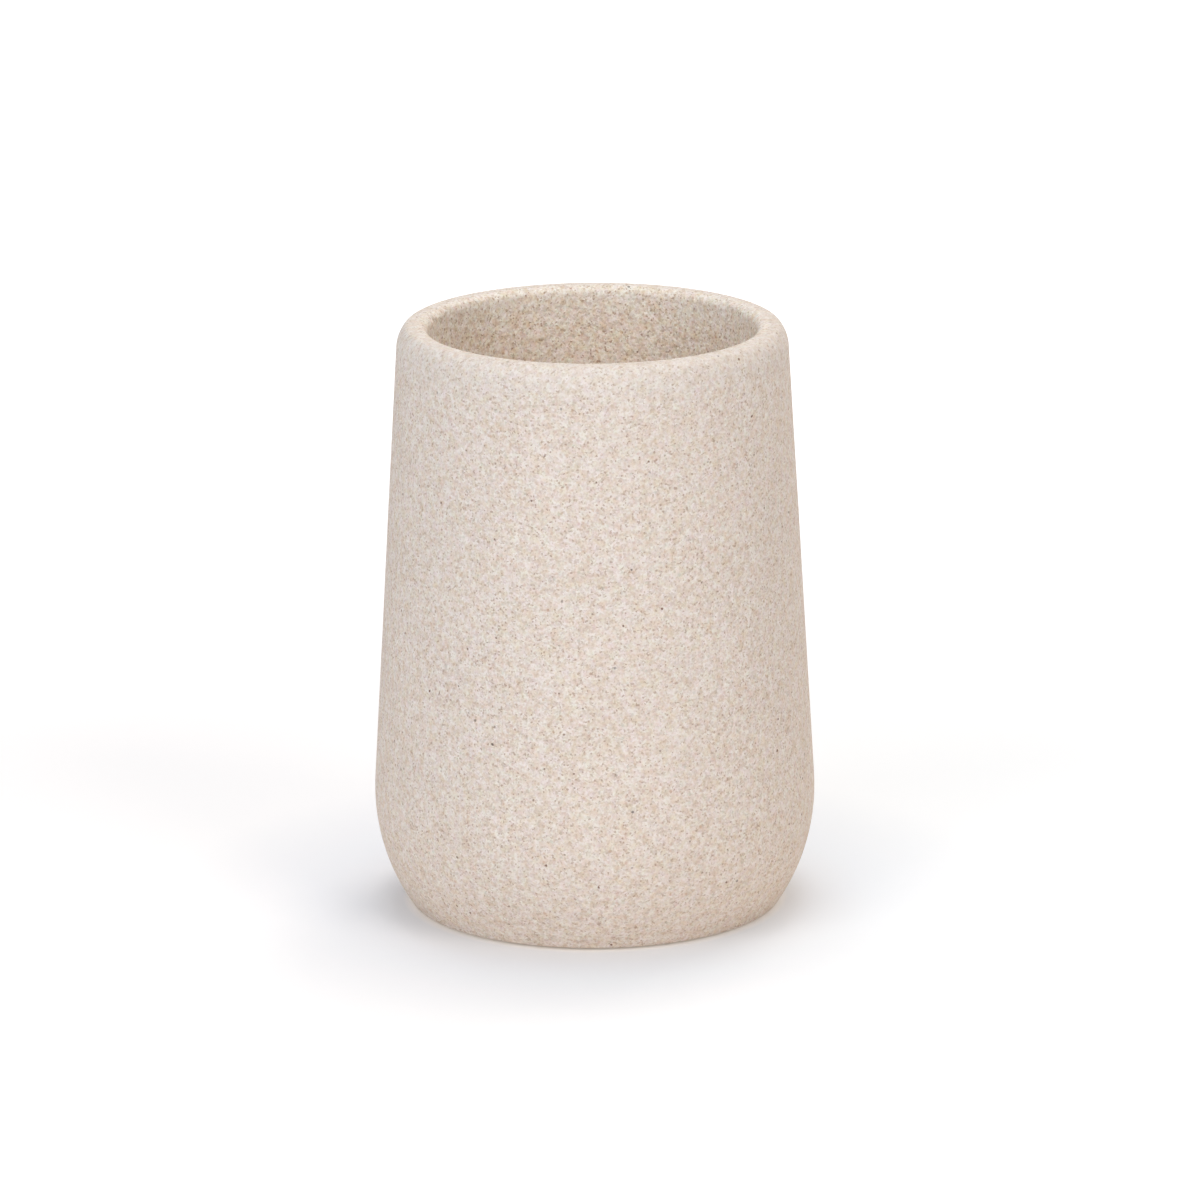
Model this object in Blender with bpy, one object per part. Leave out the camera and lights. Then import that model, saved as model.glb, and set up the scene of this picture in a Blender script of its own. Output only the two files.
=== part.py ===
"""Toothbrush holder: a tumbler cast from sand-filled resin, on an anti-slip pad. Metres, +Z up.

The table is at z = 0, and every piece is turned about the Z axis.
"""

from math import asin, cos, pi, radians, sin, sqrt, tan

import bmesh
import bpy

# Driving sizes of the cup, outside
OVERALL_HEIGHT = 0.1072  # table to the top of the rim
BELLY_RADIUS = 0.0400  # widest ring
BELLY_HEIGHT = 0.0210  # table to the widest ring
BASE_INSET = 0.0064  # how far the base's edge lies inside the widest ring
BASE_EDGE_ROUND = 0.0005
WALL_LEAN = radians(3.35)  # from upright, towards the axis

# Driving sizes of the rim
RIM_WIDTH = 0.0055  # outer wall to inner wall
SHOULDER_RADIUS = 0.0060  # long soft arc that leaves the outer wall
NOSE_RADIUS = 0.0015  # tight arc that ends in the rim's flat top
NOSE_TURN = radians(39)  # where the soft arc hands over to the tight one
MOUTH_ROUND = 0.0017

# Driving sizes of the cavity
FLOOR_THICKNESS = 0.0080
FLOOR_FILLET = 0.0100
CAVITY_DRAFT = radians(1.0)  # lets the core out of the mould

# Driving sizes of the pad and of its recess
PAD_THICKNESS = 0.0015
PAD_PROUD = 0.0004  # below the base, so that only the pad meets the table
PAD_EDGE_BREAK = 0.0002
ADHESIVE_GAP = 0.0003
PAD_SIDE_GAP = 0.0005
BASE_RING_WIDTH = 0.0052
RECESS_CORNER = 0.0005

# Fineness of the turned shapes
TURN_STEPS = 96
CORNER_STEPS = 12
SHOULDER_STEPS = 6
NOSE_STEPS = 5
ROUND_STEPS = 6
FILLET_STEPS = 9
EDGE_STEPS = 3
WELD_DISTANCE = 0.000001
SHARP_ANGLE = radians(40)

UPRIGHT = pi / 2

# Sizes that follow from the driving ones. A point is (radius, height).
BASE_RADIUS = BELLY_RADIUS - BASE_INSET
BASE_RISE = BELLY_HEIGHT - PAD_PROUD
CORNER_RADIUS = (BASE_INSET**2 + BASE_RISE**2) / (2 * BASE_INSET)
CORNER_CENTRE = (BELLY_RADIUS - CORNER_RADIUS, BELLY_HEIGHT)
CAVITY_FLOOR = PAD_PROUD + FLOOR_THICKNESS
RECESS_RADIUS = BASE_RADIUS - BASE_RING_WIDTH
RECESS_CEILING = PAD_THICKNESS + ADHESIVE_GAP
PAD_RADIUS = RECESS_RADIUS - PAD_SIDE_GAP

SANDSTONE = "D3C8BB"
PAD_GREY = "3A3836"
SANDSTONE_ROUGHNESS = 0.85
PAD_ROUGHNESS = 0.7


def clear_scene():
    for thing in list(bpy.data.objects):
        bpy.data.objects.remove(thing)


def linear_colour(hex_code):
    """An sRGB hex code as linear red, green, blue and alpha."""
    shares = [int(hex_code[i : i + 2], 16) / 255 for i in (0, 2, 4)]
    return [s / 12.92 if s <= 0.04045 else ((s + 0.055) / 1.055) ** 2.4 for s in shares] + [1.0]


def plain_material(name, hex_code, roughness):
    material = bpy.data.materials.new(name)
    material.use_nodes = True
    shader = material.node_tree.nodes["Principled BSDF"]
    shader.inputs["Base Color"].default_value = linear_colour(hex_code)
    shader.inputs["Roughness"].default_value = roughness
    shader.inputs["Metallic"].default_value = 0.0
    material.diffuse_color = linear_colour(hex_code)
    return material


def arc(centre, radius, first, last, steps):
    """Points of an arc about centre, from angle first to angle last, both ends included."""
    angles = [first + (last - first) * i / steps for i in range(steps + 1)]
    return [(centre[0] + radius * cos(a), centre[1] + radius * sin(a)) for a in angles]


def outer_wall_radius(height):
    """Radius of the straight outer wall, which is tangent to the corner's arc, at this height."""
    touch = CORNER_RADIUS + CORNER_CENTRE[0] * cos(WALL_LEAN) + CORNER_CENTRE[1] * sin(WALL_LEAN)
    return (touch - height * sin(WALL_LEAN)) / cos(WALL_LEAN)


def base_corner():
    """The base's small edge round, then the big corner up to where the straight wall starts."""
    reach = CORNER_RADIUS - BASE_EDGE_ROUND
    drop = BASE_RISE - BASE_EDGE_ROUND
    edge_centre = (CORNER_CENTRE[0] + sqrt(reach**2 - drop**2), PAD_PROUD + BASE_EDGE_ROUND)
    meeting = -asin(drop / reach)
    edge = arc(edge_centre, BASE_EDGE_ROUND, -UPRIGHT, meeting, EDGE_STEPS)
    corner = arc(CORNER_CENTRE, CORNER_RADIUS, meeting, WALL_LEAN, CORNER_STEPS)
    return edge + corner[1:]


def rim_outside():
    """The soft shoulder arc and the tight nose arc, tangent to the wall, to each other and to the top."""
    step_in = SHOULDER_RADIUS - NOSE_RADIUS
    nose_height = OVERALL_HEIGHT - NOSE_RADIUS
    shoulder_height = nose_height - step_in * sin(NOSE_TURN)
    shoulder_centre = (
        outer_wall_radius(shoulder_height) - SHOULDER_RADIUS / cos(WALL_LEAN),
        shoulder_height,
    )
    nose_centre = (shoulder_centre[0] + step_in * cos(NOSE_TURN), nose_height)
    shoulder = arc(shoulder_centre, SHOULDER_RADIUS, WALL_LEAN, NOSE_TURN, SHOULDER_STEPS)
    nose = arc(nose_centre, NOSE_RADIUS, NOSE_TURN, UPRIGHT, NOSE_STEPS)
    return shoulder + nose[1:]


def cavity():
    """From the rim's flat top over the mouth's round, down the drafted wall and fillet to the floor."""
    wall_at_top = outer_wall_radius(OVERALL_HEIGHT) - RIM_WIDTH
    round_centre = (wall_at_top + MOUTH_ROUND, OVERALL_HEIGHT - MOUTH_ROUND)
    mouth = arc(round_centre, MOUTH_ROUND, UPRIGHT, pi - CAVITY_DRAFT, ROUND_STEPS)
    wall_radius, wall_height = mouth[-1]
    fillet_height = CAVITY_FLOOR + FLOOR_FILLET
    touch_height = fillet_height - FLOOR_FILLET * sin(CAVITY_DRAFT)
    touch_radius = wall_radius - (wall_height - touch_height) * tan(CAVITY_DRAFT)
    fillet_centre = (touch_radius - FLOOR_FILLET * cos(CAVITY_DRAFT), fillet_height)
    fillet = arc(fillet_centre, FLOOR_FILLET, -CAVITY_DRAFT, -UPRIGHT, FILLET_STEPS)
    return mouth + fillet + [(0, CAVITY_FLOOR)]


def pad_recess():
    """From the axis along the recess's ceiling and down its side to the base's ring."""
    corner_centre = (RECESS_RADIUS - RECESS_CORNER, RECESS_CEILING - RECESS_CORNER)
    corner = arc(corner_centre, RECESS_CORNER, UPRIGHT, 0, EDGE_STEPS)
    return [(0, RECESS_CEILING)] + corner + [(RECESS_RADIUS, PAD_PROUD)]


def turned_mesh(name, outline):
    """A closed body: the outline, which starts and ends on the Z axis, turned once about it."""
    mesh = bpy.data.meshes.new(name)
    form = bmesh.new()
    points = [form.verts.new((radius, 0, height)) for radius, height in outline]
    edges = [form.edges.new(pair) for pair in zip(points, points[1:])]
    bmesh.ops.spin(
        form,
        geom=points + edges,
        cent=(0, 0, 0),
        axis=(0, 0, 1),
        angle=2 * pi,
        steps=TURN_STEPS,
        use_merge=True,
    )
    bmesh.ops.remove_doubles(form, verts=form.verts, dist=WELD_DISTANCE)
    bmesh.ops.recalc_face_normals(form, faces=form.faces)
    form.to_mesh(mesh)
    form.free()
    mesh.shade_smooth()
    mesh.set_sharp_from_angle(angle=SHARP_ANGLE)
    return mesh


def add_object(name, mesh, material):
    mesh.materials.append(material)
    thing = bpy.data.objects.new(name, mesh)
    bpy.context.scene.collection.objects.link(thing)
    return thing


def make_cup():
    outline = pad_recess() + base_corner() + rim_outside() + cavity()
    stone = plain_material("sandstone_resin", SANDSTONE, SANDSTONE_ROUGHNESS)
    return add_object("cup", turned_mesh("cup", outline), stone)


def make_base_pad():
    bottom_edge = [(0, 0), (PAD_RADIUS - PAD_EDGE_BREAK, 0), (PAD_RADIUS, PAD_EDGE_BREAK)]
    top_edge = [
        (PAD_RADIUS, PAD_THICKNESS - PAD_EDGE_BREAK),
        (PAD_RADIUS - PAD_EDGE_BREAK, PAD_THICKNESS),
        (0, PAD_THICKNESS),
    ]
    rubber = plain_material("pad_rubber", PAD_GREY, PAD_ROUGHNESS)
    return add_object("base_pad", turned_mesh("base_pad", bottom_edge + top_edge), rubber)


def main():
    clear_scene()
    cup = make_cup()
    pad = make_base_pad()
    pad.parent = cup


main()
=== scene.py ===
"""Toothbrush holder: a tumbler cast from sand-filled resin, standing on an anti-slip pad.

The CAD solids give the sizes. This file turns the cup and the pad again, finer and with their real
finishes, and sets them on a pale floor under soft studio light. Metres, +Z up, the table at z = 0.
"""

from math import asin, cos, pi, radians, sin, sqrt, tan

import bmesh
import bpy
from bpy.props import FloatProperty, FloatVectorProperty, IntProperty, PointerProperty
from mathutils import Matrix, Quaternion, Vector, noise


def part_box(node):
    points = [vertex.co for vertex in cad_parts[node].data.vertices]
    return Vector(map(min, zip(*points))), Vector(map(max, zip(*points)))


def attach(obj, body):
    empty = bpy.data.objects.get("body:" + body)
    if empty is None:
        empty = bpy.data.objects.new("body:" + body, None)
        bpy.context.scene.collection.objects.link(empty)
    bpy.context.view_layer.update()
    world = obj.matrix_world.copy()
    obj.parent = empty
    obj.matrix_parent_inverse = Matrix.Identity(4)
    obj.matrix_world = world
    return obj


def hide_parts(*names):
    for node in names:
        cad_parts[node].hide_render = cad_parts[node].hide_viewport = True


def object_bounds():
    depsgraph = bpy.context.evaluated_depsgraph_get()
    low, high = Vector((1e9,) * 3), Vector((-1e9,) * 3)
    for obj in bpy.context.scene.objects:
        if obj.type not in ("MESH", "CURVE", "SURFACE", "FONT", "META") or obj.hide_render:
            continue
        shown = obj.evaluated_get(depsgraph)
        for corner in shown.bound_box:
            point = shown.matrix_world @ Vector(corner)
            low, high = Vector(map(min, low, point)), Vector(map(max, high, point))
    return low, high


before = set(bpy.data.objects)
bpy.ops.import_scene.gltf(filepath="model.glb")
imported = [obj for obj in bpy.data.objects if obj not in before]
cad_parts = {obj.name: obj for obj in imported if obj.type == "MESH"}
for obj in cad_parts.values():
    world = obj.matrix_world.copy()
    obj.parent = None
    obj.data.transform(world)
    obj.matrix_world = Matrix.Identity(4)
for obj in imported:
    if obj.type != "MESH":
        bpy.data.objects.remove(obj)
CAD_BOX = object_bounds()
CUP_LOW, CUP_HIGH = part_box("cup")
PAD_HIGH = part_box("base_pad")[1]

bl_info = {
    "name": "Toothbrush Holder",
    "version": (1, 0, 0),
    "blender": (4, 5, 0),
    "location": "View3D > Sidebar > Toothbrush Holder",
    "description": "Builds a sandstone resin toothbrush holder, its pad and a plain photo stage",
    "category": "Add Mesh",
}

MILLIMETRE = 0.001
UPRIGHT = pi / 2
FULL_TURN = 2 * pi
WELD_DISTANCE = 0.001 * MILLIMETRE
SHARP_ANGLE = radians(40)

# Numbers of the finishes
BEND_WIDTH = 1.7  # in sand grains
DRAW_GAIN = 1.6  # makes up for the grains that are drawn faint
PORE_SPACING = 2.2  # in foam cells
RESIN_IOR = 1.54
RUBBER_IOR = 1.5

# Fineness of the turned outlines
CEILING_STEPS = 12
RECESS_CORNER_STEPS = 4
RING_STEPS = 4
BASE_EDGE_STEPS = 5
CORNER_STEPS = 20
WALL_STEPS = 44
SHOULDER_STEPS = 10
NOSE_STEPS = 7
RIM_TOP_STEPS = 3
MOUTH_STEPS = 8
FILLET_STEPS = 12
FLOOR_STEPS = 10
PAD_FACE_STEPS = 14
PAD_EDGE_STEPS = 4


def linear_colour(hex_code):
    """An sRGB hex code as linear red, green and blue."""
    shares = [int(hex_code[i : i + 2], 16) / 255 for i in (0, 2, 4)]
    return [s / 12.92 if s <= 0.04045 else ((s + 0.055) / 1.055) ** 2.4 for s in shares]


def length(name, description, default):
    return FloatProperty(
        name=name,
        description=description,
        default=default,
        min=0.0,
        precision=5,
        unit="LENGTH",
        subtype="DISTANCE",
    )


def grain(name, description, default):
    """A size in millimetres, for the patterns of the finishes and for the lens."""
    return FloatProperty(name=name, description=description, default=default, min=0.01, precision=3)


def angle(name, description, default):
    return FloatProperty(
        name=name,
        description=description,
        default=radians(default),
        unit="ROTATION",
        subtype="ANGLE",
    )


def share(name, description, default, top=1.0):
    return FloatProperty(
        name=name,
        description=description,
        default=default,
        min=0.0,
        max=top,
        subtype="FACTOR",
    )


def colour(name, description, hex_code):
    return FloatVectorProperty(
        name=name,
        description=description,
        default=linear_colour(hex_code),
        size=3,
        min=0.0,
        max=1.0,
        subtype="COLOR",
    )


def count(name, description, default):
    return IntProperty(name=name, description=description, default=default, min=1)


class CupSizes(bpy.types.PropertyGroup):
    """Sizes of the cast cup."""

    height: length("Height", "Table to the top of the rim", CUP_HIGH.z)
    belly_radius: length("Belly radius", "Axis to the widest ring", CUP_HIGH.x)
    belly_height: length("Belly height", "Table to the widest ring", 0.0210)
    base_height: length("Base height", "Table to the underside of the base ring", CUP_LOW.z)
    base_inset: length("Base inset", "How far the base's edge lies inside the widest ring", 0.0064)
    base_edge_round: length("Base edge round", "Round between the base and its corner", 0.0005)
    wall_lean: angle("Wall lean", "Lean of the outer wall towards the axis", 3.35)
    rim_width: length("Rim width", "Outer wall to inner wall at the mouth", 0.0055)
    shoulder_radius: length("Shoulder radius", "Long soft arc that leaves the outer wall", 0.0060)
    nose_radius: length("Nose radius", "Tight arc that ends in the rim's flat top", 0.0015)
    nose_turn: angle("Nose turn", "Where the soft arc hands over to the tight one", 39)
    mouth_round: length("Mouth round", "Round between the rim's top and the inner wall", 0.0017)
    floor_height: length("Floor height", "Table to the floor of the cavity", 0.0084)
    floor_fillet: length("Floor fillet", "Round between the inner wall and the floor", 0.0100)
    draft: angle("Draft", "Lean of the inner wall that lets the core out", 1.0)
    recess_radius: length("Recess radius", "Axis to the side of the pad's recess", 0.0284)
    recess_height: length("Recess height", "Table to the ceiling of the pad's recess", 0.0018)
    recess_corner: length("Recess corner", "Round between the recess's ceiling and side", 0.0005)
    unevenness: length("Unevenness", "Depth of the soft hollows left by casting", 0.00005)
    unevenness_width: length("Unevenness width", "Width of those hollows", 0.022)
    turn_steps: count("Turn steps", "Faces round the cup", 192)


class SandstoneFinish(bpy.types.PropertyGroup):
    """Colours and grain sizes of the sand-filled resin."""

    white: colour("White grains", "White quartz", "EDE4DD")
    cream: colour("Cream grains", "Bleached sand and the resin over it", "E9E0D8")
    pink: colour("Pink grains", "Pink feldspar", "E4D8D0")
    ochre: colour("Ochre grains", "Iron-stained sand", "E0D4C8")
    grey: colour("Grey grains", "Grey-brown feldspar", "DACEC6")
    tan: colour("Tan grains", "Brown sand", "D1C3B7")
    brown: colour("Brown grains", "Dark brown sand", "C0AC9F")
    rust: colour("Rust grains", "Rust-stained sand", "C8AB93")
    rose: colour("Rose grains", "Rose quartz and brick dust", "D1B6AA")
    slate: colour("Slate grains", "Grey-green slate", "C2C0B4")
    speck: colour("Dark specks", "Dark brown mineral specks", "785848")
    charcoal: colour("Charcoal specks", "Rare charcoal-grey mineral specks", "5E5450")
    grain_size: grain("Grain size", "Fine sand grain in millimetres", 0.30)
    coarse_size: grain("Coarse grain size", "Coarser sand grain in millimetres", 0.75)
    small_speck_spacing: grain("Small speck spacing", "Millimetres between places", 1.7)
    speck_spacing: grain("Speck spacing", "Millimetres between places", 2.3)
    charcoal_spacing: grain("Charcoal spacing", "Millimetres between places", 3.1)
    wander_size: grain("Wander size", "Patches where the sand's tint wanders, in millimetres", 1.4)
    gathering: share("Gathering", "How far the sand gathers into warmer, darker places", 0.29)
    tint_wander: share("Tint wander", "How far the tint turns greener or rosier besides", 0.17)
    cloud_size: grain("Cloud size", "Small patches of lightness, in millimetres", 1.6)
    drift_size: grain("Drift size", "Large patches of lightness, in millimetres", 12.0)
    # Painted shade: how far the inner wall's colours are deepened for the shade inside the cup
    painted_inner_shade: share("Inner depth", "How much deeper the inner wall's colours are", 0.40)
    inner_radius: length("Inner radius", "Axis to where the deeper colours start to fade", 0.0303)
    outer_radius: length("Outer radius", "Axis to where the deeper colours have gone", 0.0320)
    rim_paleness: share("Rim paleness", "How much fainter the rubbed rim's grain is", 0.26)
    rim_shade: share("Rim shade", "How much darker the rubbed rim is", 0.065)
    rub_start: length("Rub start", "Table to where the rim begins to be rubbed", 0.0990)
    rub_end: length("Rub end", "Table to where the rim is fully rubbed", 0.1066)
    relief: length("Relief", "How far the grains stand out of the resin", 0.00006)
    ground_size: grain("Ground size", "Swells of the matt mould's ground, in millimetres", 1.3)
    ground: share("Ground", "Height of those swells, in grain heights", 7.0, top=20.0)
    roughness: share("Roughness", "Roughness of the cured matt surface", 0.85)


class PadSizes(bpy.types.PropertyGroup):
    """Sizes of the anti-slip pad."""

    radius: length("Radius", "Axis to the cut edge", PAD_HIGH.x)
    thickness: length("Thickness", "Table to the glued face", PAD_HIGH.z)
    edge_break: length("Edge break", "Round left by the cutting die", 0.0002)
    pinch: length("Pinch", "How far the cut side is drawn in between its edges", 0.00012)
    turn_steps: count("Turn steps", "Faces round the pad", 144)


class PadFinish(bpy.types.PropertyGroup):
    """Colours and cell sizes of the foam rubber."""

    rubber: colour("Rubber", "Skin of the foam rubber", "3F3D3A")
    worn: colour("Scuffed rubber", "Rubbed tops of the skin", "4E4B47")
    pore: colour("Pores", "Open cells in the skin", "242321")
    cell_size: grain("Cell size", "Foam cell in millimetres", 0.45)
    scuff_size: grain("Scuff size", "Rubbed patches, in millimetres", 7.0)
    relief: length("Relief", "Depth of the skin's leathery texture", 0.00006)
    roughness: share("Roughness", "Roughness of the matt skin", 0.72)


class StageSettings(bpy.types.PropertyGroup):
    """Floor, light and camera of the photo stage."""

    floor: colour("Floor", "Pale floor and backdrop", "E3E4E8")
    floor_right: colour("Floor on the right", "Pale floor under the warm right lamp", "E3E7EC")
    floor_change_left: length("Floor change left", "Left of the axis: that colour starts", 0.03)
    floor_change_right: length("Floor change right", "Right of the axis: it is full", 0.05)
    bounce: colour("Bounce", "Colour that the floor throws back at the base", "EEE7E1")
    bounce_full: length("Bounce full", "Axis to where that colour starts to fade", 0.05)
    bounce_end: length("Bounce end", "Axis to where that colour has gone", 0.12)
    floor_radius: length("Floor radius", "Size of the floor", 2.4)
    # Cool, to paint out the warm light that the cup throws on the floor near it
    lift_tint: colour("Lift tint", "Colour of the lift near the cup", "E6F1FF")
    # Painted light: the warm colour of the lift that brightens the shadow in the gap under the base
    painted_gap_light_colour: colour("Gap tint", "Colour of the lift in the gap under the cup", "FFE6C8")
    gap_radius: length("Gap radius", "Axis to the gap under the base's edge", 0.0329)
    base_radius: length("Base radius", "Axis to the base's edge", 0.0336)
    near_radius: length("Near radius", "Axis to the floor close to the cup", 0.05)
    round_radius: length("Round radius", "Axis to where the lift is even", 0.08)
    wide_radius: length("Wide radius", "Axis to where the lift starts to rise", 0.15)
    far_radius: length("Far radius", "Axis to where the lift is full", 0.5)
    # Painted light: the lift in the gap brightens the shadow under the base's edge
    painted_light_in_gap: share("Lift in the gap", "Lift towards white under the base's edge", 0.33)
    # Painted shadow: the lifts at the base and near the cup, below the lift round the cup, deepen
    # its shadow
    painted_shadow_lift_at_base: share("Lift at the base", "Lift towards white at the base's edge", 0.12)
    painted_shadow_lift_near_cup: share("Lift near the cup", "Lift towards white close to the cup", 0.23)
    lift_round: share("Lift round the cup", "Lift towards white round the cup", 0.31)
    lift_far: share("Lift far off", "Lift towards white away from the cup", 0.6)
    top_tint: colour("Top tint", "Colour of the top lamp", "FFFFFF")
    right_tint: colour("Right tint", "Colour of the right lamp", "FFF1E0")
    left_tint: colour("Left tint", "Colour of the left lamp", "FFF6EA")
    front_tint: colour("Front tint", "Colour of the front lamp", "E8F3FF")
    back_tint: colour("Back tint", "Colour of the back lamp", "FFEBD6")
    sky: share("Sky", "Even light from all round", 0.26, top=2.0)
    top: share("Top lamp", "Large soft lamp, nearly overhead and a little behind", 0.321, top=2.0)
    right: share("Right lamp", "Large soft lamp, in front on the right", 0.310, top=2.0)
    left: share("Left lamp", "Large soft lamp, in front on the left", 0.258, top=2.0)
    front: share("Front lamp", "Large soft lamp, low in front", 0.256, top=2.0)
    back: share("Back lamp", "Large soft lamp, behind on the right", 0.210, top=2.0)
    lamp_distance: length("Lamp distance", "Each lamp to the middle of the cup", 2.0)
    lamp_width: length("Lamp width", "Width of each square lamp", 1.0)
    camera_distance: length("Camera distance", "From the middle of the cup", 1.462)
    camera_rise: angle("Camera rise", "Above the horizon", 15.19)
    camera_roll: angle("Camera roll", "Turn about the line of sight", 0.28)
    camera_lens: grain("Lens", "Focal length in millimetres", 242.3)
    aim_right: length("Aim right", "Right of the middle of the cup", 0.00111)
    aim_up: length("Aim up", "Above the middle of the cup", 0.00214)


class HolderSettings(bpy.types.PropertyGroup):
    """Everything that a user may change."""

    cup: PointerProperty(type=CupSizes)
    sandstone: PointerProperty(type=SandstoneFinish)
    pad: PointerProperty(type=PadSizes)
    foam: PointerProperty(type=PadFinish)
    stage: PointerProperty(type=StageSettings)


# Shader nodes


def add_node(tree, kind, inputs=None, stops=(), **settings):
    """One shader node: its settings, its inputs as values or sockets, and its ramp's stops.

    The first two stops are the ones that a new ramp already has.
    """
    node = tree.nodes.new("ShaderNode" + kind)
    for name, value in settings.items():
        setattr(node, name, value)
    for name, value in (inputs or {}).items():
        if isinstance(value, bpy.types.NodeSocket):
            tree.links.new(value, node.inputs[name])
        else:
            node.inputs[name].default_value = value
    for index, (place, shade) in enumerate(stops):
        ramp = node.color_ramp.elements
        stop = ramp[index] if index < 2 else ramp.new(place)
        stop.position = place
        stop.color = shade
    return node


def solid(shade):
    """A colour with full alpha, as a socket wants it."""
    return (*shade, 1.0)


def cells_per_metre(millimetres):
    return 1 / (millimetres * MILLIMETRE)


def new_material(name):
    material = bpy.data.materials.new(name)
    material.use_nodes = True
    material.node_tree.nodes.clear()
    return material


def finish_material(material, shader, shade):
    add_node(material.node_tree, "OutputMaterial", {"Surface": shader.outputs["BSDF"]})
    material.diffuse_color = solid(shade)
    return material


def sandstone_resin(finish):
    """Cast sandstone resin: polyester resin filled with fine sand, cured in a matt mould, uncoated.

    The sand reaches the surface, so the eye gets a pale beige of many single grains, with a few
    dark, rust, rose and white ones among them, a dry matt skin and a barely raised grain.
    """
    material = new_material("cast_sandstone_resin")
    tree = material.node_tree
    place = add_node(tree, "TexCoord").outputs["Object"]

    # Sand grains aren't round, so their places are bent a little before the grains are drawn.
    bend = add_node(
        tree,
        "TexNoise",
        {
            "Vector": place,
            "Scale": cells_per_metre(finish.grain_size * BEND_WIDTH),
            "Detail": 1.0,
        },
    )
    shift = add_node(
        tree,
        "VectorMath",
        {0: bend.outputs["Color"], 1: (0.5, 0.5, 0.5)},
        operation="SUBTRACT",
    )
    bent = add_node(
        tree,
        "VectorMath",
        {0: shift.outputs[0], 1: (finish.grain_size * MILLIMETRE,) * 3, 2: place},
        operation="MULTIPLY_ADD",
    ).outputs[0]

    # Fine sand of 0.2 to 0.4 mm, at its real size, which the photo's framing just shows: each grain
    # takes one of the sand's colours.
    fine = add_node(
        tree, "TexVoronoi", {"Vector": bent, "Scale": cells_per_metre(finish.grain_size)}
    )
    lot = add_node(tree, "SeparateColor", {0: fine.outputs["Color"]})
    sand = add_node(
        tree,
        "ValToRGB",
        {"Fac": lot.outputs[0]},
        stops=(
            (0.0, solid(finish.white)),
            (1.0, solid(finish.brown)),
            (0.18, solid(finish.cream)),
            (0.42, solid(finish.pink)),
            (0.60, solid(finish.ochre)),
            (0.74, solid(finish.grey)),
            (0.88, solid(finish.tan)),
            (0.96, solid(finish.brown)),
        ),
    )
    sand.color_ramp.interpolation = "CONSTANT"
    base = sand.outputs["Color"]

    # Larger grains and specks: spacing of the places in mm, share of the places that have one,
    # radius in mm, colour and strength.
    mixed_in = (
        (finish.coarse_size, 0.35, 0.32, finish.tan, 0.33),
        (finish.coarse_size * 0.93, 0.35, 0.32, finish.white, 0.25),
        (finish.coarse_size * 1.07, 0.22, 0.30, finish.rose, 0.38),
        (finish.coarse_size * 1.13, 0.22, 0.30, finish.slate, 0.31),
        (finish.coarse_size * 1.2, 0.16, 0.30, finish.rust, 0.40),
        (finish.small_speck_spacing, 0.24, 0.20, finish.speck, 0.60),
        (finish.speck_spacing, 0.17, 0.24, finish.speck, 0.85),
        (finish.charcoal_spacing, 0.16, 0.28, finish.charcoal, 0.60),
    )
    for number, (spacing, chance, radius, shade, strength) in enumerate(mixed_in):
        # Each kind is moved, so that no two kinds lie on the same places.
        moved = add_node(
            tree,
            "VectorMath",
            {0: bent, 1: (0.11 * (number + 1), 0.07 * number, 0.05)},
            operation="ADD",
        )
        cells = add_node(
            tree,
            "TexVoronoi",
            {"Vector": moved.outputs[0], "Scale": cells_per_metre(spacing)},
        )
        # The lower a place's draw, the stronger its grain, and from the chance on it has none.
        draw = add_node(tree, "SeparateColor", {0: cells.outputs["Color"]})
        drawn = add_node(
            tree,
            "MapRange",
            {"Value": draw.outputs[0], 1: chance, 2: 0.0, 3: 0.0, 4: strength * DRAW_GAIN},
        )
        # Solid to half its radius, and gone a little past it, like a grain that resin half covers.
        spot = add_node(
            tree,
            "MapRange",
            {
                "Value": cells.outputs["Distance"],
                1: 0.5 * radius / spacing,
                2: 1.3 * radius / spacing,
                3: 1.0,
                4: 0.0,
            },
            interpolation_type="SMOOTHSTEP",
        )
        amount = add_node(
            tree,
            "Math",
            {0: drawn.outputs[0], 1: spot.outputs[0]},
            operation="MULTIPLY",
            use_clamp=True,
        )
        base = add_node(
            tree,
            "Mix",
            {0: amount.outputs[0], 6: base, 7: solid(shade)},
            data_type="RGBA",
        ).outputs[2]

    # The mix is never quite even. The sand gathers into warmer, darker places, its tint turns a
    # little greener or rosier, and its lightness changes in small clouds and in a slow drift.
    # Gathered sand takes away least of the red and most of the blue.
    plain = Vector((1, 1, 1))
    warmer = Vector((0.33, 0.62, 1.02)) * finish.gathering
    greener = Vector((0, 1, 0)) * finish.tint_wander
    wander = add_node(
        tree,
        "TexNoise",
        {
            "Vector": place,
            "Scale": cells_per_metre(finish.wander_size),
            "Detail": 2.0,
            "Roughness": 0.6,
        },
    )
    gathered = add_node(
        tree, "MapRange", {"Value": wander.outputs[0], 1: 0.40, 2: 0.74, 3: -0.33, 4: 0.67}
    )
    for noise_value, strength, level in (
        (gathered.outputs[0], -warmer, plain),
        (wander.outputs["Color"], greener, plain - greener / 2),
    ):
        tint = add_node(
            tree,
            "VectorMath",
            {0: noise_value, 1: strength, 2: level},
            operation="MULTIPLY_ADD",
        )
        base = add_node(
            tree, "VectorMath", {0: base, 1: tint.outputs[0]}, operation="MULTIPLY"
        ).outputs[0]
    clouds = ((finish.cloud_size, 0.978, 1.022), (finish.drift_size, 0.985, 1.015))
    for size, low, high in clouds:
        cloud = add_node(
            tree,
            "TexNoise",
            {"Vector": place, "Scale": cells_per_metre(size), "Detail": 2.0},
        )
        level = add_node(
            tree,
            "MapRange",
            {"Value": cloud.outputs[0], 1: 0.3, 2: 0.7, 3: low, 4: high},
        )
        base = add_node(
            tree,
            "VectorMath",
            {0: base, "Scale": level.outputs[0]},
            operation="SCALE",
        ).outputs[0]
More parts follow.
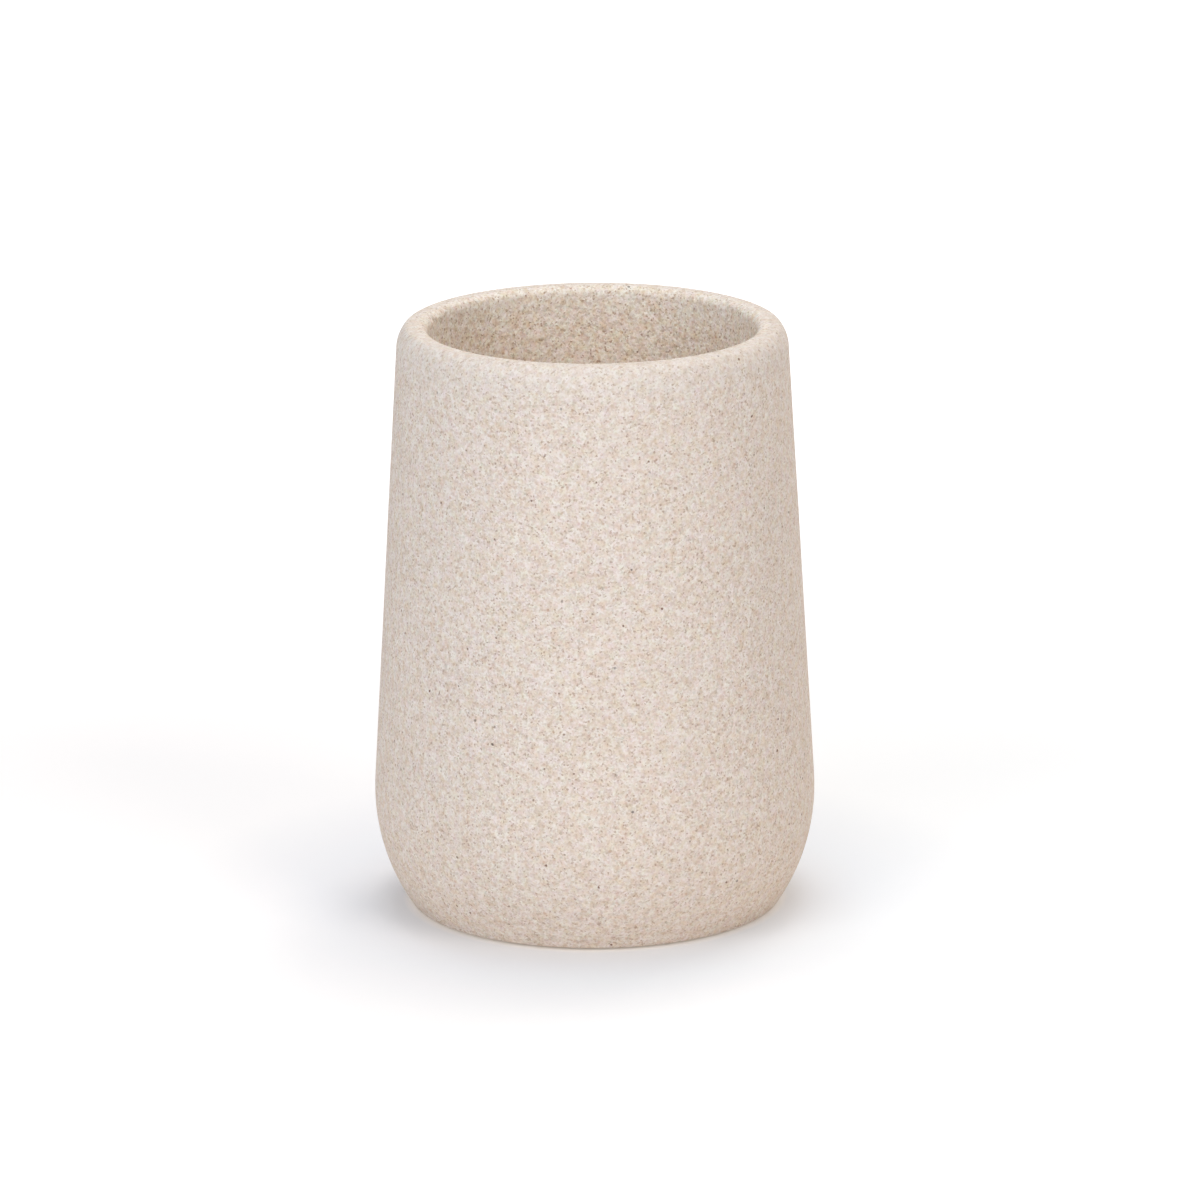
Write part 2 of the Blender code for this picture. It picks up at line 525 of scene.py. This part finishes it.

    # The inner wall's colours are deepened, warmer and with stronger grain, as the shade inside the
    # cup makes them look: painted shade. The rim is rubbed down, so its grain is fainter. Both run
    # out within the rim's rounds.
    across = add_node(tree, "VectorMath", {0: place, 1: (1, 1, 0)}, operation="MULTIPLY")
    from_axis = add_node(tree, "VectorMath", {0: across.outputs[0]}, operation="LENGTH")
    inside = add_node(
        tree,
        "MapRange",
        {
            "Value": from_axis.outputs["Value"],
            1: finish.inner_radius,
            2: finish.outer_radius,
            3: 1.0,
            4: 0.0,
        },
    )
    upward = add_node(tree, "SeparateXYZ", {0: place})
    rubbed, rim_level = (
        add_node(
            tree,
            "MapRange",
            {
                "Value": upward.outputs[2],
                1: finish.rub_start,
                2: finish.rub_end,
                3: 1.0,
                4: 1 - change,
            },
        )
        for change in (finish.rim_paleness, finish.rim_shade)
    )
    power = add_node(
        tree,
        "Math",
        {0: inside.outputs[0], 1: finish.painted_inner_shade, 2: rubbed.outputs[0]},
        operation="MULTIPLY_ADD",
    )
    # The level gives back part of the lightness that the painted shade's deeper colours lose.
    given_back = Vector((0.42, 0.53, 0.55)) * finish.painted_inner_shade
    level = add_node(
        tree,
        "VectorMath",
        {0: inside.outputs[0], 1: given_back, 2: rim_level.outputs[0]},
        operation="MULTIPLY_ADD",
    )
    deeper = add_node(tree, "Gamma", {"Color": base, "Gamma": power.outputs[0]})
    base = add_node(
        tree,
        "VectorMath",
        {0: deeper.outputs[0], 1: level.outputs[0]},
        operation="MULTIPLY",
    ).outputs[0]

    # Smooth quartz grains and rough ones lie side by side, each a low dome on the mould's ground.
    roughness = add_node(
        tree,
        "MapRange",
        {
            "Value": lot.outputs[1],
            3: finish.roughness - 0.08,
            4: finish.roughness + 0.07,
        },
    )
    dome = add_node(
        tree,
        "MapRange",
        {"Value": fine.outputs["Distance"], 1: 0.0, 2: 0.75, 3: 1.0, 4: 0.0},
        interpolation_type="SMOOTHSTEP",
    )
    grains = add_node(
        tree,
        "Math",
        {0: dome.outputs[0], 1: lot.outputs[2]},
        operation="MULTIPLY",
    )
    ground = add_node(
        tree,
        "TexNoise",
        {"Vector": place, "Scale": cells_per_metre(finish.ground_size), "Detail": 1.0},
    )
    height = add_node(
        tree,
        "Math",
        {0: ground.outputs[0], 1: finish.ground, 2: grains.outputs[0]},
        operation="MULTIPLY_ADD",
    )
    bump = add_node(
        tree,
        "Bump",
        {"Height": height.outputs[0], "Distance": finish.relief, "Strength": 1.0},
    )
    shader = add_node(
        tree,
        "BsdfPrincipled",
        {
            "Base Color": base,
            "Roughness": roughness.outputs[0],
            "Normal": bump.outputs[0],
            "IOR": RESIN_IOR,
            "Specular IOR Level": 0.35,
        },
    )
    return finish_material(material, shader, finish.pink)


def foam_rubber(finish):
    """Foam rubber: closed-cell black-brown EVA, skived to a sheet and die-cut, glued on one side.

    Its skin is matt and softly leathery, with small open cells, and greyer where it is rubbed.
    """
    material = new_material("die_cut_foam_rubber")
    tree = material.node_tree
    place = add_node(tree, "TexCoord").outputs["Object"]

    # A leathery skin of cells just under half a millimetre, at their real size, and rubbed patches
    skin = add_node(
        tree,
        "TexVoronoi",
        {"Vector": place, "Scale": cells_per_metre(finish.cell_size)},
        feature="SMOOTH_F1",
    )
    scuff = add_node(
        tree,
        "TexNoise",
        {"Vector": place, "Scale": cells_per_metre(finish.scuff_size), "Detail": 4.0},
    )
    rubbed = add_node(
        tree,
        "MapRange",
        {"Value": scuff.outputs[0], 1: 0.45, 2: 0.7, 3: 0.0, 4: 0.8},
    )
    base = add_node(
        tree,
        "Mix",
        {0: rubbed.outputs[0], 6: solid(finish.rubber), 7: solid(finish.worn)},
        data_type="RGBA",
    )

    # Open cells about a millimetre apart
    open_cells = add_node(
        tree,
        "TexVoronoi",
        {"Vector": place, "Scale": cells_per_metre(finish.cell_size * PORE_SPACING)},
    )
    pore = add_node(
        tree,
        "MapRange",
        {"Value": open_cells.outputs["Distance"], 1: 0.1, 2: 0.22, 3: 1.0, 4: 0.0},
        interpolation_type="SMOOTHSTEP",
    )
    base = add_node(
        tree,
        "Mix",
        {0: pore.outputs[0], 6: base.outputs[2], 7: solid(finish.pore)},
        data_type="RGBA",
    )
    roughness = add_node(
        tree,
        "MapRange",
        {
            "Value": scuff.outputs[0],
            1: 0.3,
            2: 0.7,
            3: finish.roughness - 0.06,
            4: finish.roughness + 0.1,
        },
    )
    height = add_node(
        tree,
        "Math",
        {0: skin.outputs["Distance"], 1: pore.outputs[0]},
        operation="SUBTRACT",
    )
    bump = add_node(
        tree,
        "Bump",
        {"Height": height.outputs[0], "Distance": finish.relief, "Strength": 1.0},
    )
    shader = add_node(
        tree,
        "BsdfPrincipled",
        {
            "Base Color": base.outputs[2],
            "Roughness": roughness.outputs[0],
            "Normal": bump.outputs[0],
            "IOR": RUBBER_IOR,
        },
    )
    return finish_material(material, shader, finish.rubber)


# Turned shapes. An outline is drawn in the XZ plane, from its tip onwards, and then turned about Z.


def straight_on(form, tip, radius, height, lengths=1):
    """Draws the outline straight on to this radius and height, and returns its new tip."""
    step = (Vector((radius, 0, height)) - tip.co) / lengths
    for _ in range(lengths):
        tip = bmesh.ops.extrude_vert_indiv(form, verts=[tip])["verts"][0]
        bmesh.ops.translate(form, verts=[tip], vec=step)
    return tip


def round_on(form, tip, centre, turn, steps):
    """Draws the outline on in an arc about this centre, and returns its new tip."""
    swept = bmesh.ops.spin(
        form,
        geom=[tip],
        cent=(centre[0], 0, centre[1]),
        axis=(0, -1, 0),
        angle=turn,
        steps=steps,
    )
    return swept["geom_last"][0]


def turned(form, steps):
    """Turns the outline once about the Z axis and closes its seam and its poles."""
    bmesh.ops.spin(
        form,
        geom=form.verts[:] + form.edges[:],
        cent=(0, 0, 0),
        axis=(0, 0, 1),
        angle=FULL_TURN,
        steps=steps,
        use_merge=True,
    )
    bmesh.ops.remove_doubles(form, verts=form.verts, dist=WELD_DISTANCE)
    bmesh.ops.recalc_face_normals(form, faces=form.faces)


def hollowed(form, depth, width):
    """Presses soft, shallow hollows into the surface, which never stands out past the mould."""
    form.normal_update()
    for point in form.verts:
        wave = 0.5 + 0.5 * noise.noise(point.co / width)
        point.co -= point.normal * depth * min(max(wave, 0.0), 1.0)


def placed(form, name, material, node):
    """Puts the finished piece in the scene, riding on the body, in place of its CAD node."""
    mesh = bpy.data.meshes.new(name)
    form.to_mesh(mesh)
    form.free()
    mesh.shade_smooth()
    mesh.set_sharp_from_angle(angle=SHARP_ANGLE)
    mesh.materials.append(material)
    piece = bpy.data.objects.new(name, mesh)
    bpy.context.scene.collection.objects.link(piece)
    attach(piece, "root")
    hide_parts(node)


def base_corner(cup):
    """Radius and centre of the big corner, from the base's edge up to the widest ring."""
    rise = cup.belly_height - cup.base_height
    radius = (cup.base_inset**2 + rise**2) / (2 * cup.base_inset)
    return radius, (cup.belly_radius - radius, cup.belly_height)


def draw_base(form, tip, cup):
    """The pad's recess, the base ring, its small edge round and the big corner up to the wall."""
    flat = cup.recess_radius - cup.recess_corner
    tip = straight_on(form, tip, flat, cup.recess_height, CEILING_STEPS)
    recess_centre = (flat, cup.recess_height - cup.recess_corner)
    tip = round_on(form, tip, recess_centre, -UPRIGHT, RECESS_CORNER_STEPS)
    tip = straight_on(form, tip, cup.recess_radius, cup.base_height)

    corner_radius, corner_centre = base_corner(cup)
    edge_height = cup.base_height + cup.base_edge_round
    reach = corner_radius - cup.base_edge_round
    drop = cup.belly_height - edge_height
    edge_radius = corner_centre[0] + sqrt(reach**2 - drop**2)
    meeting = -asin(drop / reach)
    tip = straight_on(form, tip, edge_radius, cup.base_height, RING_STEPS)
    tip = round_on(form, tip, (edge_radius, edge_height), UPRIGHT + meeting, BASE_EDGE_STEPS)
    return round_on(form, tip, corner_centre, cup.wall_lean - meeting, CORNER_STEPS)


def draw_rim(form, tip, cup, wall_radius_at):
    """The leaning wall, the soft shoulder, the tight nose, the flat top and the mouth's round."""
    step_in = cup.shoulder_radius - cup.nose_radius
    nose_height = cup.height - cup.nose_radius
    shoulder_height = nose_height - step_in * sin(cup.nose_turn)
    shoulder_radius = wall_radius_at(shoulder_height) - cup.shoulder_radius / cos(cup.wall_lean)
    wall_end = (
        shoulder_radius + cup.shoulder_radius * cos(cup.wall_lean),
        shoulder_height + cup.shoulder_radius * sin(cup.wall_lean),
    )
    tip = straight_on(form, tip, *wall_end, WALL_STEPS)
    shoulder_centre = (shoulder_radius, shoulder_height)
    tip = round_on(form, tip, shoulder_centre, cup.nose_turn - cup.wall_lean, SHOULDER_STEPS)
    nose_centre = (shoulder_radius + step_in * cos(cup.nose_turn), nose_height)
    tip = round_on(form, tip, nose_centre, UPRIGHT - cup.nose_turn, NOSE_STEPS)

    inner_radius = wall_radius_at(cup.height) - cup.rim_width
    mouth_centre = (inner_radius + cup.mouth_round, cup.height - cup.mouth_round)
    tip = straight_on(form, tip, mouth_centre[0], cup.height, RIM_TOP_STEPS)
    return round_on(form, tip, mouth_centre, UPRIGHT - cup.draft, MOUTH_STEPS)


def draw_cavity(form, tip, cup):
    """The drafted inner wall, the floor's fillet and the floor."""
    fillet_height = cup.floor_height + cup.floor_fillet
    touch_height = fillet_height - cup.floor_fillet * sin(cup.draft)
    touch_radius = tip.co.x - (tip.co.z - touch_height) * tan(cup.draft)
    tip = straight_on(form, tip, touch_radius, touch_height, WALL_STEPS)
    fillet_centre = (touch_radius - cup.floor_fillet * cos(cup.draft), fillet_height)
    tip = round_on(form, tip, fillet_centre, cup.draft - UPRIGHT, FILLET_STEPS)
    straight_on(form, tip, 0.0, cup.floor_height, FLOOR_STEPS)


class HOLDER_OT_build_cup(bpy.types.Operator):
    """Turn the cast cup: recessed base, round corner, leaning wall, soft rim and drafted cavity"""

    bl_idname = "holder.build_cup"
    bl_label = "Build Cup"
    bl_options = {"REGISTER", "UNDO"}

    def execute(self, context):
        settings = context.scene.holder
        cup = settings.cup
        lean = cup.wall_lean
        corner_radius, corner_centre = base_corner(cup)
        touch = corner_radius + corner_centre[0] * cos(lean) + corner_centre[1] * sin(lean)

        def wall_radius_at(height):
            return (touch - height * sin(lean)) / cos(lean)

        form = bmesh.new()
        tip = form.verts.new((0, 0, cup.recess_height))
        tip = draw_base(form, tip, cup)
        tip = draw_rim(form, tip, cup, wall_radius_at)
        draw_cavity(form, tip, cup)
        turned(form, cup.turn_steps)
        hollowed(form, cup.unevenness, cup.unevenness_width)
        placed(form, "cast_cup", sandstone_resin(settings.sandstone), "cup")
        return {"FINISHED"}


class HOLDER_OT_build_base_pad(bpy.types.Operator):
    """Turn the anti-slip pad that sits in the base's recess"""

    bl_idname = "holder.build_base_pad"
    bl_label = "Build Base Pad"
    bl_options = {"REGISTER", "UNDO"}

    def execute(self, context):
        settings = context.scene.holder
        pad = settings.pad
        edge = pad.edge_break
        flat = pad.radius - edge
        waist = pad.radius - pad.pinch
        form = bmesh.new()
        tip = form.verts.new((0, 0, 0))
        tip = straight_on(form, tip, flat, 0.0, PAD_FACE_STEPS)
        tip = round_on(form, tip, (flat, edge), UPRIGHT, PAD_EDGE_STEPS)
        tip = straight_on(form, tip, waist, pad.thickness / 2)
        top_edge = pad.thickness - edge
        tip = straight_on(form, tip, pad.radius, top_edge)
        tip = round_on(form, tip, (flat, top_edge), UPRIGHT, PAD_EDGE_STEPS)
        straight_on(form, tip, 0.0, pad.thickness, PAD_FACE_STEPS)
        turned(form, pad.turn_steps)
        placed(form, "anti_slip_pad", foam_rubber(settings.foam), "base_pad")
        return {"FINISHED"}


# Photo stage


def seen_directly(tree):
    """1 for what the camera sees, also mirrored or through something clear, and else 0."""
    ray = add_node(tree, "LightPath")
    seen = ray.outputs["Is Camera Ray"]
    for kind in ("Is Glossy Ray", "Is Transmission Ray"):
        either = add_node(tree, "Math", {0: seen, 1: ray.outputs[kind]}, operation="MAXIMUM")
        seen = either.outputs[0]
    return seen


def pale_floor(stage):
    """Matt painted board, which keeps the soft shadow.

    The camera sees it lifted towards white, and a little cooler under the warm right lamp, as in a
    white-balanced picture. The lift is painted light and shade as well: less of it close to the cup
    deepens the shadow there, and more of it, warm, in the gap under the base's edge brightens that
    gap's shadow. The light that it throws back at the base is warm.
    """
    material = new_material("matt_painted_board")
    tree = material.node_tree
    place = add_node(tree, "TexCoord").outputs["Object"]
    length_of = add_node(tree, "VectorMath", {0: place}, operation="LENGTH")
    from_cup = length_of.outputs["Value"]
    seen = seen_directly(tree)

    sideways = add_node(tree, "SeparateXYZ", {0: place})
    rightward = add_node(
        tree,
        "MapRange",
        {
            "Value": sideways.outputs[0],
            1: -stage.floor_change_left,
            2: stage.floor_change_right,
        },
    )
    cooled = add_node(tree, "MapRange", {"Value": seen, 3: 0.0, 4: rightward.outputs[0]})
    near = add_node(
        tree,
        "MapRange",
        {"Value": from_cup, 1: stage.bounce_full, 2: stage.bounce_end, 3: 1.0, 4: 0.0},
    )
    unseen = add_node(tree, "MapRange", {"Value": seen, 3: near.outputs[0], 4: 0.0})
    shade = solid(stage.floor)
    for amount, other in ((cooled, stage.floor_right), (unseen, stage.bounce)):
        shade = add_node(
            tree,
            "Mix",
            {0: amount.outputs[0], 6: shade, 7: solid(other)},
            data_type="RGBA",
        ).outputs[2]
    paint = add_node(
        tree,
        "BsdfPrincipled",
        {"Base Color": shade, "Roughness": 0.9, "Specular IOR Level": 0.1},
    )

    # The lift's rings: radius, strength and tint. The weak rings at the base and near the cup paint
    # the cup's shadow deeper, the warm ring in the gap under the base's edge paints light into that
    # gap's shadow, and the cool tint near the cup paints out the warm light that the cup throws on
    # the floor.
    reach = add_node(tree, "MapRange", {"Value": from_cup, 1: 0.0, 2: stage.far_radius})
    plain = Vector((1, 1, 1))
    cool = Vector(stage.lift_tint)
    rings = (
        (stage.gap_radius, stage.painted_light_in_gap, Vector(stage.painted_gap_light_colour)),
        (stage.far_radius, stage.lift_far, plain),
        (stage.base_radius, stage.painted_shadow_lift_at_base, cool),
        (stage.near_radius, stage.painted_shadow_lift_near_cup, cool),
        (stage.round_radius, stage.lift_round, plain),
        (stage.wide_radius, stage.lift_round, plain),
    )
    stops = [(radius / stage.far_radius, solid(tint * lift)) for radius, lift, tint in rings]
    lift = add_node(tree, "ValToRGB", {"Fac": reach.outputs[0]}, stops=stops)
    glow = add_node(tree, "Emission", {"Color": lift.outputs[0], "Strength": 1.0})
    none = add_node(tree, "Emission", {"Strength": 0.0})
    lifted = add_node(tree, "MixShader", {0: seen, 1: none.outputs[0], 2: glow.outputs[0]})
    both = add_node(tree, "AddShader", {0: paint.outputs[0], 1: lifted.outputs[0]})
    add_node(tree, "OutputMaterial", {"Surface": both.outputs[0]})
    return material


def lay_floor(stage):
    form = bmesh.new()
    bmesh.ops.create_circle(form, cap_ends=True, radius=stage.floor_radius, segments=64)
    mesh = bpy.data.meshes.new("floor")
    form.to_mesh(mesh)
    form.free()
    mesh.materials.append(pale_floor(stage))
    floor = bpy.data.objects.new("floor", mesh)
    bpy.context.scene.collection.objects.link(floor)


def hang_lamp(stage, middle, name, lit_share, tint, azimuth, elevation):
    """A square soft lamp that gives this share of full light on a surface that faces it."""
    away = Vector(
        (sin(azimuth) * cos(elevation), -cos(azimuth) * cos(elevation), sin(elevation))
    )
    data = bpy.data.lights.new(name, "AREA")
    data.shape = "SQUARE"
    data.size = stage.lamp_width
    data.color = tint
    data.energy = lit_share * (pi * stage.lamp_distance) ** 2
    lamp = bpy.data.objects.new(name, data)
    lamp.visible_camera = False
    lamp.location = middle + away * stage.lamp_distance
    lamp.rotation_euler = (-away).to_track_quat("-Z", "Y").to_euler()
    bpy.context.scene.collection.objects.link(lamp)


def light_sky(stage):
    """White to the camera and to reflections, and the plain even light to everything else."""
    world = bpy.data.worlds.new("studio")
    world.use_nodes = True
    tree = world.node_tree
    tree.nodes.clear()
    seen = seen_directly(tree)
    strength = add_node(
        tree,
        "MapRange",
        {"Value": seen, 3: stage.sky, 4: 1.0},
    )
    sky = add_node(
        tree,
        "Background",
        {"Color": (1, 1, 1, 1), "Strength": strength.outputs[0]},
    )
    add_node(tree, "OutputWorld", {"Surface": sky.outputs[0]})
    bpy.context.scene.world = world


def set_camera(stage, middle):
    rise = stage.camera_rise
    back = Vector((0, -cos(rise), sin(rise)))
    up = Vector((0, sin(rise), cos(rise)))
    data = bpy.data.cameras.new("photo_camera")
    data.sensor_width = 36.0
    data.lens = stage.camera_lens
    data.clip_start = 0.05
    data.clip_end = 20.0
    camera = bpy.data.objects.new("photo_camera", data)
    camera.location = middle + back * stage.camera_distance
    aim = middle + Vector((stage.aim_right, 0, 0)) + up * stage.aim_up
    look = (aim - camera.location).to_track_quat("-Z", "Y")
    camera.rotation_euler = (look @ Quaternion((0, 0, 1), -stage.camera_roll)).to_euler()
    bpy.context.scene.collection.objects.link(camera)
    bpy.context.scene.camera = camera


class HOLDER_OT_build_stage(bpy.types.Operator):
    """Lay the pale floor, hang the soft lamps and set up the camera"""

    bl_idname = "holder.build_stage"
    bl_label = "Build Stage"
    bl_options = {"REGISTER", "UNDO"}

    def execute(self, context):
        stage = context.scene.holder.stage
        middle = Vector((0, 0, CAD_BOX[1].z / 2))
        lay_floor(stage)
        light_sky(stage)
        # Name, share of full light, tint, azimuth and elevation in degrees
        lamps = (
            ("top_lamp", stage.top, stage.top_tint, 180, 75),
            ("right_lamp", stage.right, stage.right_tint, 45, 35),
            ("left_lamp", stage.left, stage.left_tint, -45, 35),
            ("front_lamp", stage.front, stage.front_tint, -18, 15),
            ("back_lamp", stage.back, stage.back_tint, 150, 35),
        )
        for name, lit_share, tint, azimuth, elevation in lamps:
            turn = (radians(azimuth), radians(elevation))
            hang_lamp(stage, middle, name, lit_share, tint, *turn)
        set_camera(stage, middle)
        context.scene.view_settings.view_transform = "Standard"
        return {"FINISHED"}


class HOLDER_PT_sidebar(bpy.types.Panel):
    """Sizes, finishes and build buttons of the toothbrush holder"""

    bl_idname = "HOLDER_PT_sidebar"
    bl_label = "Toothbrush Holder"
    bl_space_type = "VIEW_3D"
    bl_region_type = "UI"
    bl_category = "Toothbrush Holder"

    def draw(self, context):
        holder = context.scene.holder
        groups = (
            ("Cup", HOLDER_OT_build_cup, (holder.cup, holder.sandstone)),
            ("Base pad", HOLDER_OT_build_base_pad, (holder.pad, holder.foam)),
            ("Stage", HOLDER_OT_build_stage, (holder.stage,)),
        )
        for title, operator, settings in groups:
            box = self.layout.box()
            box.label(text=title)
            for group in settings:
                for name in group.__annotations__:
                    box.prop(group, name)
            box.operator(operator.bl_idname)


CLASSES = (
    CupSizes,
    SandstoneFinish,
    PadSizes,
    PadFinish,
    StageSettings,
    HolderSettings,
    HOLDER_OT_build_cup,
    HOLDER_OT_build_base_pad,
    HOLDER_OT_build_stage,
    HOLDER_PT_sidebar,
)


def register():
    for kind in CLASSES:
        bpy.utils.register_class(kind)
    bpy.types.Scene.holder = PointerProperty(type=HolderSettings)


def unregister():
    del bpy.types.Scene.holder
    for kind in reversed(CLASSES):
        bpy.utils.unregister_class(kind)


def main():
    register()
    bpy.ops.holder.build_cup()
    bpy.ops.holder.build_base_pad()
    bpy.ops.holder.build_stage()


if __name__ == "__main__":
    main()
